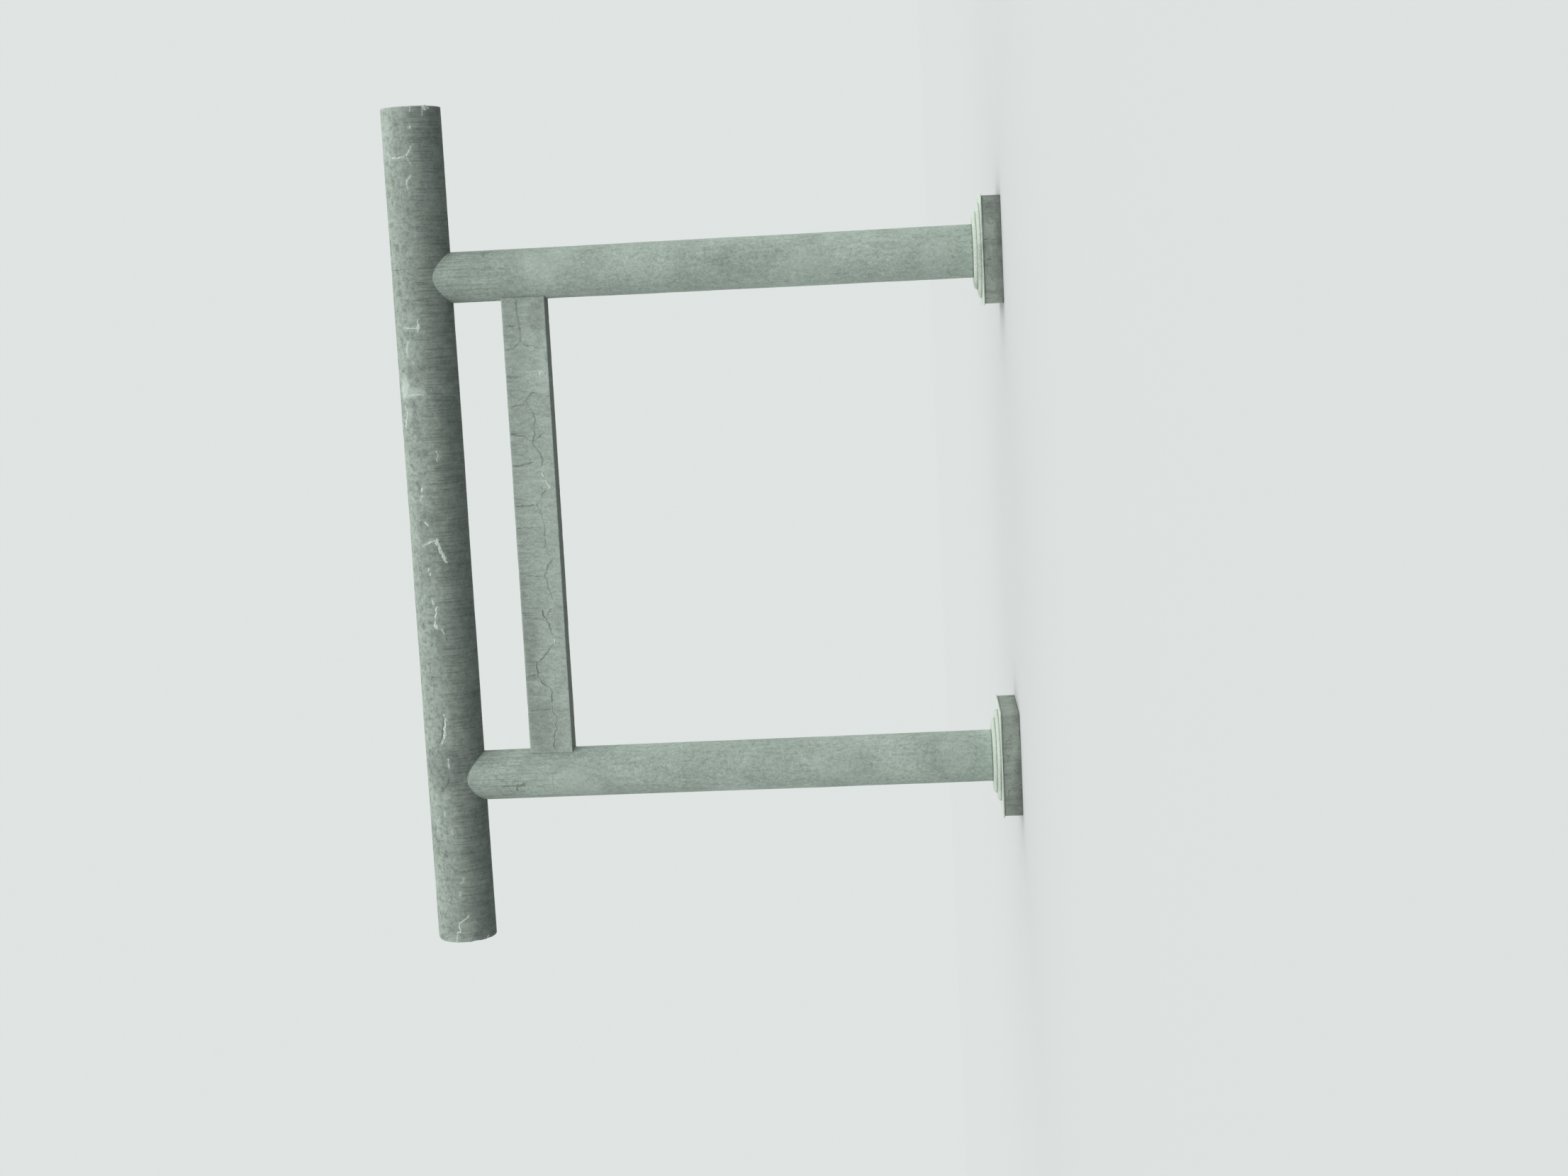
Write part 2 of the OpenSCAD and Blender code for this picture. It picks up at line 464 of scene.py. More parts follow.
def fractal(points, size, octaves, seed):
    """Noise of about -1 to 1 at flat or solid points, with its largest lumps of the given size."""
    points = np.column_stack([points, np.zeros((len(points), 3 - points.shape[1]))])
    total = np.zeros(len(points))
    for octave in range(octaves):
        total += lumps(points * 2**octave / size + 17.3 * octave, seed + octave) / 2**octave
    return total


def smooth_step(values, low, high):
    part = np.clip((values - low) / (high - low), 0, 1)
    return part * part * (3 - 2 * part)


def bell(distance, width):
    """1 at no distance, falling smoothly to 0 past the width."""
    return np.exp(-((distance / width) ** 2))


# Surfaces


def columns(x, y, z):
    """Points or directions from their three parts, each an array or one value."""
    return np.column_stack(np.broadcast_arrays(x, y, z))


def relief(points, seed):
    """Swells and hollows of a cast surface, in metres along its normal."""
    swells = SWELL_HEIGHT * fractal(points, SWELL_SIZE, 3, seed)
    return swells + HOLLOW_HEIGHT * fractal(points, HOLLOW_SIZE, 2, seed + 5)


def chips(points, edge_distance, depth, seed):
    """Depth lost along a worn arris, in metres, up to the given depth."""
    broken = smooth_step(fractal(points, CHIP_LENGTH, 3, seed), 0.25, 0.9)
    return depth * (0.12 + 0.88 * broken) * bell(edge_distance, CHIP_WIDTH)


def log_plane(points):
    """Place along the top log, and round it from the middle of its front; it parts at the underside."""
    angle = np.arctan2(points[:, 2] - LOG_AXIS_Z, -points[:, 1])
    quarter = math.pi / 2
    angle = (angle + quarter) % (2 * math.pi) - quarter
    return np.column_stack([points[:, 0], angle * LOG_RADIUS])


def log_skin(flat):
    """Points and normals of the top log's surface."""
    angle = flat[:, 1] / LOG_RADIUS
    normals = columns(0, -np.cos(angle), np.sin(angle))
    points = columns(flat[:, 0], 0, LOG_AXIS_Z) + LOG_RADIUS * normals
    return points + relief(points, LOG_SEED)[:, None] * normals, normals


def face_skin(node, face, start_x, run, seed, share):
    """Makes the function for a node's flat front, face -1, or back, face 1.

    Its flat places run from start_x to the right, run 1, or to the left, run -1.
    """
    low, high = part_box(node)

    def skin(flat):
        y = low.y if face < 0 else high.y
        points = columns(start_x + run * flat[:, 0], y, low.z + flat[:, 1])
        normals = np.tile([0.0, face, 0.0], (len(flat), 1))
        return points + share * relief(points, seed)[:, None] * normals, normals

    return skin


def beam_skin(face):
    return face_skin("tie_beam", face, 0, 1, BEAM_SEED, 1)


def footing_skin(side, face):
    """Its places run from under the pillar's axis, towards the middle of the gate."""
    start_x = SIDES[side] * PILLAR_X
    return face_skin(f"{side}_footing", face, start_x, -SIDES[side], BASE_SEED + 8, BLOCK_RELIEF)


def pillar_skin(side, turn):
    """Makes the function for a pillar's shaft, from its front, turn 0, or from another side."""

    def skin(flat):
        angle = flat[:, 0] / FOOT_RADIUS + turn
        normals = columns(np.sin(angle), -np.cos(angle), 0)
        points = columns(SIDES[side] * PILLAR_X, 0, flat[:, 1])
        points += pillar_radius(flat[:, 1])[:, None] * normals
        return points + relief(points, PILLAR_SEED)[:, None] * normals, normals

    return skin


def pillar_radius(z):
    return FOOT_RADIUS - PILLAR_TAPER * (z - FOOT_Z)


def saddle_z(y):
    """Height of the top log's underside over a line at y."""
    return LOG_AXIS_Z - np.sqrt(LOG_RADIUS**2 - y**2)


# Meshes


def add_piece(name, mesh, material, slot, node=None, **layers):
    """Adds a smooth piece from its points, its faces and, where they are given, its normals for shading.

    Each layer is a value at every point, which the material reads. The piece stands in for the node.
    """
    points, faces, *normals = mesh
    data = bpy.data.meshes.new(name)
    data.from_pydata(points.tolist(), [], faces)
    work = bmesh.new()
    work.from_mesh(data)
    bmesh.ops.recalc_face_normals(work, faces=work.faces)
    work.to_mesh(data)
    work.free()
    data.shade_smooth()
    if normals:
        data.normals_split_custom_set_from_vertices(normals[0].tolist())
    for layer, values in layers.items():
        data.attributes.new(layer, "FLOAT", "POINT").data.foreach_set("value", values.astype(np.float32))
    data.materials.append(material)
    piece = bpy.data.objects.new(name, data)
    bpy.context.scene.collection.objects.link(piece)
    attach(piece, "root")
    if node:
        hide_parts(node)


def sheet_quads(ids):
    """Faces between the neighbours in a grid of point numbers."""
    return np.stack([ids[:-1, :-1], ids[:-1, 1:], ids[1:, 1:], ids[1:, :-1]], axis=-1).reshape(-1, 4)


def lathe(radius, height, step):
    """Points, normals and faces of a surface turned about Z, whose outline starts and ends on it."""
    count = round(2 * math.pi * max(radius) / step)
    across, along = np.gradient(height), -np.gradient(radius)
    size = np.hypot(across, along)
    across, along = across / size, along / size
    angle = np.arange(count) * 2 * math.pi / count
    cos, sin = np.cos(angle), np.sin(angle)

    def ring_points(outward, upward):
        outward, upward = outward[:, None], upward[:, None]
        body = np.stack(np.broadcast_arrays(outward * cos, outward * sin, upward), axis=-1)
        return np.vstack([[0, 0, upward[0, 0]], body[1:-1].reshape(-1, 3), [0, 0, upward[-1, 0]]])

    ids = 1 + np.arange((len(radius) - 2) * count).reshape(-1, count)
    ids = np.column_stack([ids, ids[:, 0]])
    faces = sheet_quads(ids).tolist()
    for tip, edge in ((0, ids[0, ::-1]), (ids.max() + 1, ids[-1])):
        faces += [[int(tip), a, b] for a, b in zip(edge[:-1].tolist(), edge[1:].tolist())]
    return ring_points(radius, height), ring_points(across, along), faces


def stations(low, high, step, close):
    """Places from low to high, a step apart, with closer ones near both ends."""
    inner = np.linspace(low + close, high - close, max(2, round((high - low - 2 * close) / step)))
    return np.concatenate([[low, low + close / 3], inner, [high - close / 3, high]])


def worn_block(low, high, steps, bevel):
    """Skin of a block with rounded arrises: points, normals, faces and distances to the nearest arris."""
    lines = [stations(*ends, bevel) for ends in zip(low, high, steps)]
    grid = np.stack(np.meshgrid(*lines, indexing="ij"), axis=-1)
    skin = np.ones(grid.shape[:3], bool)
    skin[1:-1, 1:-1, 1:-1] = False
    ids = np.full(skin.shape, -1)
    ids[skin] = np.arange(skin.sum())
    faces = []
    for axis in range(3):
        for end in (0, -1):
            faces += sheet_quads(np.take(ids, end, axis=axis)).tolist()
    points = grid[skin]
    low, high = np.array(low), np.array(high)
    depths = np.minimum(points - low, high - points)
    arris = np.sort(depths, axis=1)[:, 1]
    inner = np.clip(points, low + bevel, high - bevel)
    offset = points - inner
    size = np.linalg.norm(offset, axis=1, keepdims=True)
    return inner + bevel * offset / size, offset / size, faces, arris


def closed_sheet(top, bottom, quads):
    """Solid between two sheets with the same quads, walled along their open edges."""
    used, quads = np.unique(quads, return_inverse=True)
    quads = quads.reshape(-1, 4)
    top, bottom = top[used], bottom[used]
    count = len(used)
    start, end = quads.ravel(), np.roll(quads, -1, axis=1).ravel()
    free = ~np.isin(start * count + end, end * count + start)
    start, end = start[free], end[free]
    walls = np.column_stack([end, start, start + count, end + count])
    return np.vstack([top, bottom]), np.vstack([quads, quads[:, ::-1] + count, walls]).tolist()


def joined(parts):
    """Several (points, faces) or (points, faces, normals) meshes as one."""
    faces, count = [], 0
    for points, part_faces, *_ in parts:
        faces += [[i + count for i in face] for face in part_faces]
        count += len(points)
    points, _, *normals = zip(*parts)
    return np.vstack(points), faces, *map(np.vstack, normals)


# Routes on a surface


def route_distance(flat, *routes):
    """Distance of each flat point from the nearest of some routes of straight stretches."""
    nearest = np.full(len(flat), np.inf)
    for route in routes:
        for start, end in zip(route[:-1], route[1:]):
            run = end - start
            part = np.clip((flat - start) @ run / (run @ run), 0, 1)
            nearest = np.minimum(nearest, np.linalg.norm(flat - start - part[:, None] * run, axis=1))
    return nearest


def patches(flat, rows, make_route, seed):
    """The strongest of several uneven patches at each flat point, from the rows of a table."""
    total = np.zeros(len(flat))
    for along, up, width, height, strength in rows:
        size = width * CM, height * CM
        away = np.linalg.norm((flat - make_route([(along, up)])) / size, axis=1)
        patch = smooth_step(1 - away + 0.45 * fractal(flat, min(size), 4, seed), -0.1, 0.5)
        total = np.maximum(total, strength * patch)
    return total


def log_route(route):
    return np.array([(x * CM, math.radians(a) * LOG_RADIUS) for x, a in route])


def log_back(route):
    """The same route on the log's back, as if the log were turned half round end for end."""
    return np.column_stack([-route[:, 0], math.pi * LOG_RADIUS - route[:, 1]])


def pillar_route(route):
    return np.array([(math.radians(a) * FOOT_RADIUS, z * CM) for a, z in route])


def plain_route(route):
    return np.array(route) * CM


def beam_route(route):
    """A route on the beam's face, kept between its bevels."""
    route = plain_route(route)
    route[:, 1] = np.clip(route[:, 1], BEAM_BEVEL, BEAM_HEIGHT - BEAM_BEVEL)
    return route


def waver(route, seed):
    """Close, wavering points on a route, the ways across it, and a share that fades at its ends."""
    lengths = np.concatenate([[0], np.cumsum(np.linalg.norm(np.diff(route, axis=0), axis=1))])
    run = np.linspace(0, lengths[-1], max(4, round(lengths[-1] / CRACK_STEP)))
    path = np.column_stack([np.interp(run, lengths, line) for line in route.T])
    heading = np.gradient(path, axis=0)
    heading /= np.linalg.norm(heading, axis=1, keepdims=True)
    across = np.column_stack([-heading[:, 1], heading[:, 0]])
    sway = fractal(path, SWAY_SIZE, 2, seed) + 0.5 * fractal(path, JITTER_SIZE, 2, seed + 5)
    path = path + CRACK_WAVER * sway[:, None] * across
    return path, across, np.clip(0.2 + np.minimum(run, lengths[-1] - run) / CRACK_TAPER, 0, 1)


def surface_normals(skin, flat):
    """Unit normals of a skin with its relief."""
    along, up = (skin(flat + step)[0] - skin(flat - step)[0] for step in np.eye(2) * NORMAL_STEP)
    normals = np.cross(along, up)
    normals *= np.sign(np.sum(normals * skin(flat)[1], axis=1, keepdims=True))
    return normals / np.linalg.norm(normals, axis=1, keepdims=True)


def band(skin, path, across, half, section):
    """Closed strip along a path: points, faces and the normals of the surface that it lies on.

    The section gives each edge line's share of the half width and its lift.
    """
    lines, normals = [], []
    for share, lift in section:
        flat = path + (share * half)[:, None] * across
        points, outward = skin(flat)
        lines.append(points + lift * MM * outward)
        normals.append(surface_normals(skin, flat))
    ids = np.arange(len(path) * len(section)).reshape(len(path), len(section))
    faces = sheet_quads(np.column_stack([ids, ids[:, 0]])).tolist() + ids[[0, -1]].tolist()
    return np.stack(lines, axis=1).reshape(-1, 3), faces, np.stack(normals, axis=1).reshape(-1, 3)


def dirty_strip(skin, route, width, strength, seed):
    """Strip of dirty concrete along a route, and its painted dirt."""
    path, across, fade = waver(route, seed)
    uneven = np.clip(0.8 + 0.6 * fractal(path, DIRT_CHANGE, 3, seed + 9), 0.3, 1.2)
    strip = band(skin, path, across, width / 2 * (0.6 + 0.4 * fade), STRIP_SECTION)
    return strip, np.outer(strength * uneven * fade, STRIP_DIRT).ravel()


def cleft(skin, route, width, seed):
    """Dark middle of a crack, on the same path as its dirty strip."""
    path, across, fade = waver(route, seed)
    uneven = np.clip(0.8 + 0.9 * fractal(path, CLEFT_CHANGE, 3, seed + 9), 0.03, 2)
    return band(skin, path, across, width / 2 * uneven * fade, CLEFT_SECTION)


def crust(skin, route, width, seed):
    """Lumpy deposit that stands proud of a surface along a route."""
    low, high = route.min(axis=0) - 1.2 * width, route.max(axis=0) + 1.2 * width
    lines = [np.arange(*ends, CRUST_STEP) for ends in zip(low, high)]
    grid = np.stack(np.meshgrid(*lines, indexing="ij"), axis=-1)
    flat = grid.reshape(-1, 2)
    pull = [fractal(flat, 1.2 * width, 3, seed + 20 * i) for i in (1, 2)]
    distance = route_distance(flat + 0.28 * width * np.column_stack(pull), route)
    half = width / 2 * np.clip(0.9 + 0.6 * fractal(flat, 1.3 * width, 3, seed), 0.1, 1.8)
    swell = 1 - (distance / half) ** 2
    grain = 0.75 + 0.6 * fractal(flat, 0.35 * width, 3, seed + 3)
    proud = CRUST_LIFT * width * np.sqrt(np.maximum(swell, 0)) * grain
    rise = np.where(swell > 0, proud, np.maximum(swell, -1) * CRUST_EDGE)
    points, normals = skin(flat)
    quads = sheet_quads(np.arange(len(flat)).reshape(grid.shape[:2]).T)
    quads = quads[(swell[quads] > -0.4).any(axis=1)]
    return closed_sheet(points + rise[:, None] * normals, points - CRUST_SINK * normals, quads)


# Materials


class Nodes:
    """The nodes of a material or of the world, with a short call for each kind used here."""

    def __init__(self, owner, coordinates):
        owner.use_nodes = True
        self.nodes = owner.node_tree.nodes
        self.links = owner.node_tree.links
        self.place = self.node("TexCoord", {})[coordinates]
        self.x, _, self.z = self.node("SeparateXYZ", {0: self.place})

    def node(self, kind, inputs, **settings):
        """Outputs of a new node, whose inputs, by number or name, are values or other nodes' outputs."""
        node = self.nodes.new(f"ShaderNode{kind}")
        for name, value in settings.items():
            setattr(node, name, value)
        for place, value in inputs.items():
            self.feed(node.inputs[place], value)
        return node.outputs

    def feed(self, socket, value):
        if isinstance(value, bpy.types.NodeSocket):
            self.links.new(value, socket)
        else:
            socket.default_value = (*value, 1) if socket.type == "RGBA" else value

    def math(self, operation, *values):
        return self.node("Math", dict(enumerate(values)), operation=operation)[0]

    def times(self, a, b):
        return self.math("MULTIPLY", a, b)

    def mix(self, factor, a, b):
        return self.node("Mix", {"Factor": factor, "A": a, "B": b}, data_type="RGBA")["Result"]

    def seen_directly(self):
        """1 for rays from the camera and those that gloss or glass sends on."""
        rays = self.node("LightPath", {})
        either = self.math("MAXIMUM", rays["Is Camera Ray"], rays["Is Glossy Ray"])
        return self.math("MAXIMUM", either, rays["Is Transmission Ray"])


class Shade(Nodes):
    """A material's nodes, with calls for the detail of stone and concrete."""

    def __init__(self, name, roughness=0.9, specular=0.25):
        self.material = bpy.data.materials.new(name)
        super().__init__(self.material, "Object")
        self.shader = self.nodes["Principled BSDF"]
        self.shader.inputs["Roughness"].default_value = roughness
        self.shader.inputs["Specular IOR Level"].default_value = specular

    def swung(self, middle, *noises):
        """A middle value, swung up and down by noises of mean 0.5, given with their gains."""
        shift = -sum(gain for _, gain in noises) / 2
        total = middle + shift if isinstance(middle, float) else self.math("ADD", middle, shift)
        for value, gain in noises:
            total = self.math("MULTIPLY_ADD", value, gain, total)
        return total

    def ramp(self, value, low, high):
        """Smooth change from 0 to 1 between two values."""
        return self.node("MapRange", {0: value, 1: low, 2: high}, interpolation_type="SMOOTHSTEP")[0]

    def noise(self, scales, detail, rough, bend=0.0):
        """Noise of one scale, or of three along X, Y and Z."""
        place = self.place
        if isinstance(scales, tuple):
            place = self.node("Mapping", {"Vector": place, "Scale": scales})[0]
            scales = 1.0
        inputs = {"Vector": place, "Scale": scales, "Detail": detail, "Roughness": rough}
        return self.node("TexNoise", {**inputs, "Distortion": bend})["Fac"]

    def veins(self, scale, bend, width):
        """1 on a web of thin lines, 0 between them."""
        wander = self.node("TexNoise", {"Vector": self.place, "Scale": 2.5 * scale, "Detail": 3.0})
        inputs = {0: wander["Color"], 1: (bend / scale,) * 3, 2: self.place}
        place = self.node("VectorMath", inputs, operation="MULTIPLY_ADD")[0]
        web = self.node("TexVoronoi", {"Vector": place, "Scale": scale}, feature="DISTANCE_TO_EDGE")
        return self.ramp(web["Distance"], width, 0.0)

    def pits(self, scale, share, size):
        """1 in small round pits, in the given share of the cells."""
        cells = self.node("TexVoronoi", {"Vector": self.place, "Scale": scale})
        chance = self.node("SeparateColor", {0: cells["Color"]})[0]
        picked = self.math("LESS_THAN", chance, share)
        return self.times(picked, self.ramp(cells["Distance"], size, 0.5 * size))

    def painted(self, name):
        return self.node("Attribute", {}, attribute_name=name)["Fac"]

    def shaded(self, color, tone):
        """Colour made lighter or darker by a tone about 1."""
        return self.node("VectorMath", {0: color, "Scale": tone}, operation="SCALE")[0]

    def over(self, color, amount, share, layer):
        """Colour with a share of another one laid over it, by an amount from 0 to 1."""
        return self.mix(self.times(amount, share), color, layer)

    def finish(self, color, height, depth):
        """The material, of this colour and with bumps of this height, as a share of the depth."""
        bump = self.node("Bump", {"Strength": 1.0, "Distance": depth, "Height": height})[0]
        self.feed(self.shader.inputs["Base Color"], color)
        self.feed(self.shader.inputs["Normal"], bump)
        return self.material


def finish_cast(s, color, tone, height):
    """Grain, pits, painted dirt and painted shade, worn edges and lime that every cast surface has."""
    grain = s.noise(160.0, 3.0, 0.7)
    sand = s.noise(55.0, 4.0, 0.65)
    pits = s.pits(34.0, 0.12, 0.2)
    tone = s.swung(tone, (grain, 0.5), (sand, 0.85))
    tone = s.math("MULTIPLY_ADD", pits, -0.12, tone)
    color = s.shaded(color, tone)
    # Painted dirt and painted shade from the pieces' layers darken the colour
    color = s.over(color, s.painted("grime"), 0.7, s.shaded(color, 0.3))
    color = s.over(color, s.painted("worn"), 0.4, LIME_COLOR)
    color = s.over(color, s.painted("lime"), 0.6, LIME_COLOR)
    height = s.swung(height, (grain, 0.25), (sand, 0.4))
    height = s.math("MULTIPLY_ADD", pits, -0.5, height)
    return s.finish(color, height, BUMP_DEPTH)


def log_concrete():
    """Bleached and grainy above, darker and closely streaked below."""
    s = Shade("log_concrete")
    height = s.ramp(s.z, LOG_AXIS_Z - LOG_RADIUS, LOG_AXIS_Z + LOG_RADIUS)
    clouds = s.noise(4.0, 6.0, 0.68, 0.5)
    lichen = s.noise(20.0, 5.0, 0.7, 0.5)
    runs = s.noise((24.0, 3.5, 3.5), 5.0, 0.7, 0.1)
    fine = s.noise((66.0, 3.0, 3.0), 3.0, 0.6, 0.15)
    bleach = s.ramp(s.swung(height, (runs, 0.8)), 0.5, 1.0)
    color = s.mix(bleach, LOG_COLOR, LOG_BLEACHED)
    dirt = s.ramp(s.swung(height, (clouds, 0.5)), 0.55, -0.1)
    color = s.over(color, dirt, 0.5, LOG_DIRT)
    blackened = s.times(s.ramp(lichen, 0.5, 0.36), s.ramp(height, 0.35, 0.8))
    color = s.over(color, blackened, 0.5, LOG_DIRT)
    reach = s.ramp(s.swung(height, (runs, 1.0)), 0.64, 0.3)
    lines = s.times(s.ramp(fine, 0.46, 0.64), reach)
    color = s.over(color, lines, 0.7, LOG_DIRT)
    tone = s.swung(1.0, (lichen, 0.95), (clouds, 0.7), (runs, 0.4))
    return finish_cast(s, color, tone, s.math("MULTIPLY_ADD", lines, -0.5, s.swung(0.0, (lichen, 1.0))))


def pillar_concrete():
    """Pale, with soft mottling drawn out downwards, faint crazing and rain streaks under the top log."""
    s = Shade("pillar_concrete")
    clouds = s.noise(1.6, 5.0, 0.6, 0.2)
    mottle = s.noise((27.0, 27.0, 20.0), 5.0, 0.66, 0.3)
    runs = s.noise((30.0, 30.0, 3.5), 4.0, 0.65, 0.2)
    craze = s.times(s.veins(6.5, 0.9, 0.05), s.ramp(clouds, 0.42, 0.62))
    color = s.mix(s.ramp(clouds, 0.35, 0.65), PILLAR_COLOR, PILLAR_PALE)
    fine = s.noise((60.0, 60.0, 1.1), 3.0, 0.5)
    level = s.swung(s.z, (clouds, STREAK_REACH))
    high = s.ramp(level, PILLAR_HIGH.z - STREAK_REACH, PILLAR_HIGH.z)
    lines = s.times(s.ramp(fine, 0.48, 0.66), high)
    color = s.over(color, lines, 0.5, PILLAR_STREAK)
    tone = s.swung(1.0, (clouds, 0.28), (runs, 0.35), (mottle, 0.95))
    tone = s.math("MULTIPLY_ADD", craze, -0.1, tone)
    return finish_cast(s, color, tone, s.times(craze, -0.3))


def beam_concrete():
    """Mottled and grainy, with scattered drips from the top arris and paler patches low down."""
    s = Shade("beam_concrete")
    height = s.ramp(s.z, BEAM_LOW.z, BEAM_HIGH.z)
    clouds = s.noise(2.6, 5.0, 0.62, 0.3)
    mottle = s.noise((36.0, 36.0, 17.0), 5.0, 0.7, 0.3)
    runs = s.noise((12.0, 6.0, 1.4), 4.0, 0.62)
    fine = s.noise((52.0, 52.0, 2.0), 3.0, 0.55)
    pale = s.ramp(s.swung(s.math("SUBTRACT", 1.0, height), (clouds, 1.2)), 0.2, 0.9)
    color = s.mix(pale, BEAM_COLOR, BEAM_PALE)
    reach = s.times(s.ramp(s.swung(height, (runs, 1.3)), 0.7, 1.2), s.ramp(runs, 0.42, 0.6))
    lines = s.times(s.ramp(fine, 0.42, 0.62), reach)
    color = s.over(color, lines, 0.7, BEAM_STREAK_AND_SHADE)
    # Painted shade on the underside and the lowest millimetres of the faces
    under = s.ramp(s.z, BEAM_LOW.z + 6 * MM, BEAM_LOW.z + 1 * MM)
    color = s.over(color, under, 0.75, BEAM_STREAK_AND_SHADE)
    tone = s.swung(1.0, (mottle, 1.1), (clouds, 0.25), (runs, 0.3))
    return finish_cast(s, color, tone, s.times(lines, -0.2))


def base_stone(name, color, low, high):
    """Rubbed pale stone, with dirt near its lower edge."""
    s = Shade(name, 0.8)
    clouds = s.noise(4.0, 5.0, 0.65, 0.5)
    specks = s.noise(90.0, 2.0, 0.6)
    height = s.ramp(s.z, low, high)
    dirt = s.ramp(s.swung(height, (clouds, 0.8)), 0.12, -0.15)
    color = s.over(color, dirt, 0.55, STONE_DIRT)
    color = s.over(color, s.ramp(specks, 0.6, 0.75), 0.3, STONE_DIRT)
    return finish_cast(s, color, s.swung(1.0, (clouds, 0.4)), s.times(specks, 0.1))


def footing_concrete():
    """Rough grey concrete, stained downwards and damp at the ground."""
    s = Shade("footing_concrete", 0.95)
    clouds = s.noise(5.0, 6.0, 0.68, 0.6)
    runs = s.noise((22.0, 22.0, 2.5), 4.0, 0.62, 0.2)
    damp = s.ramp(s.swung(s.z, (clouds, 0.16)), 0.11, -0.04)
    color = s.over(FOOTING_COLOR, damp, 0.85, FOOTING_DAMP)
    color = s.over(color, s.ramp(runs, 0.48, 0.68), 0.4, FOOTING_DAMP)
    return finish_cast(s, color, s.swung(1.0, (clouds, 0.7)), s.swung(0.0, (clouds, 1.2)))


def lime_deposit():
    """Chalky lime, white where it is thick."""
    s = Shade("lime_deposit", 0.95)
    grain = s.noise(70.0, 4.0, 0.65)
    stain = s.noise(24.0, 3.0, 0.6)
    color = s.over(LIME_COLOR, s.ramp(stain, 0.45, 0.7), 0.55, LOG_BLEACHED)
    color = s.shaded(color, s.swung(1.0, (grain, 0.5)))
    return s.finish(color, grain, BUMP_DEPTH)


def cleft_shadow(name):
    """Painted shade and dirt in the bottom of a crack."""
    s = Shade(name, 1.0)
    fill = s.noise(45.0, 3.0, 0.6)
    color = s.mix(s.ramp(fill, 0.4, 0.7), CRACK_COLOR, LOG_DIRT)
    return s.finish(color, fill, BUMP_DEPTH / 2)


# Top log


def end_cap(bevel):
    """Radii and depths of an end of a length, from its middle out over its worn rim."""
    flat = np.linspace(0, LOG_RADIUS - bevel, 16)
    turn = np.linspace(0, math.pi / 2, 5)[1:]
    radii = np.concatenate([flat, LOG_RADIUS - bevel + bevel * np.sin(turn)])
    return radii, np.concatenate([np.zeros(len(flat)), bevel * (1 - np.cos(turn))])


def log_length(name, start, end, start_bevel, end_bevel, material):
    """One length of the top log, with its worn rims."""
    start_radii, start_depths = end_cap(start_bevel)
    end_radii, end_depths = end_cap(end_bevel)
    run = stations(start + start_bevel, end - end_bevel, LOG_STEP, RIM_STEP)[1:-1]
    radii = np.concatenate([start_radii, np.full(len(run), LOG_RADIUS), end_radii[::-1]])
    places = np.concatenate([start + start_depths, run, end - end_depths[::-1]])
    points, normals, faces = lathe(radii, places, LOG_STEP)
    points = columns(points[:, 2], -points[:, 0], points[:, 1] + LOG_AXIS_Z)
    normals = columns(normals[:, 2], -normals[:, 0], normals[:, 1])
    depth = LOG_RADIUS - np.hypot(points[:, 1], points[:, 2] - LOG_AXIS_Z)
    outer_rim = np.hypot(depth, LOG_END_X - np.abs(points[:, 0]))
    swell = relief(points, LOG_SEED) - chips(points, outer_rim, LOG_CHIP, LOG_SEED + 3)
    mesh = points + swell[:, None] * normals, faces
    layers = log_layers(points, depth, outer_rim)
    add_piece(f"log_{name}_length", mesh, material, "log_concrete", f"top_log_{name}", **layers)


def log_layers(points, depth, outer_rim):
    flat = log_plane(points)
    on_side = smooth_step(-depth, *END_FADE)
    crusts = [log_route(route) for _, route in LOG_CRUSTS]
    crusts += [log_back(route) for route in crusts]
    lime = 0.3 * bell(route_distance(flat, *crusts), LIME_HALO)
    lime = np.maximum(lime, patches(flat, LOG_WASHES, log_route, LOG_SEED + 40))
    uneven = np.clip(0.7 + 0.8 * fractal(points, DIRT_CHANGE, 3, LOG_SEED + 80), 0, 1.2)
    grime = np.zeros(len(points))
    for reach, strength, route in LOG_DIRT_LINES:
        line = strength * bell(route_distance(flat, log_route(route)), reach * CM)
        grime = np.maximum(grime, line * uneven)
    # The lines are fainter beyond the joints
    grime = np.where(np.abs(points[:, 0]) < LOG_JOINT_X, grime, 0.6 * grime)
    grime = np.maximum(grime, patches(flat, LOG_STAINS, log_route, LOG_SEED + 60))
    return {"lime": on_side * lime, "grime": on_side * grime, "worn": np.exp(-outer_rim / LOG_WEAR)}


def build_top_log(material):
    log_length("left", -LOG_END_X, -LOG_JOINT_X, LOG_BEVEL, LOG_JOINT_BEVEL, material)
    log_length("middle", -LOG_JOINT_X, LOG_JOINT_X, LOG_JOINT_BEVEL, LOG_JOINT_BEVEL, material)
    log_length("right", LOG_JOINT_X, LOG_END_X, LOG_JOINT_BEVEL, LOG_BEVEL, material)


# Pillars


def shaft_z(share, y):
    """Height at a share of the pillar's way up to the top log, over a line at y."""
    return FOOT_Z + share * (saddle_z(y) + SADDLE_SINK - FOOT_Z)


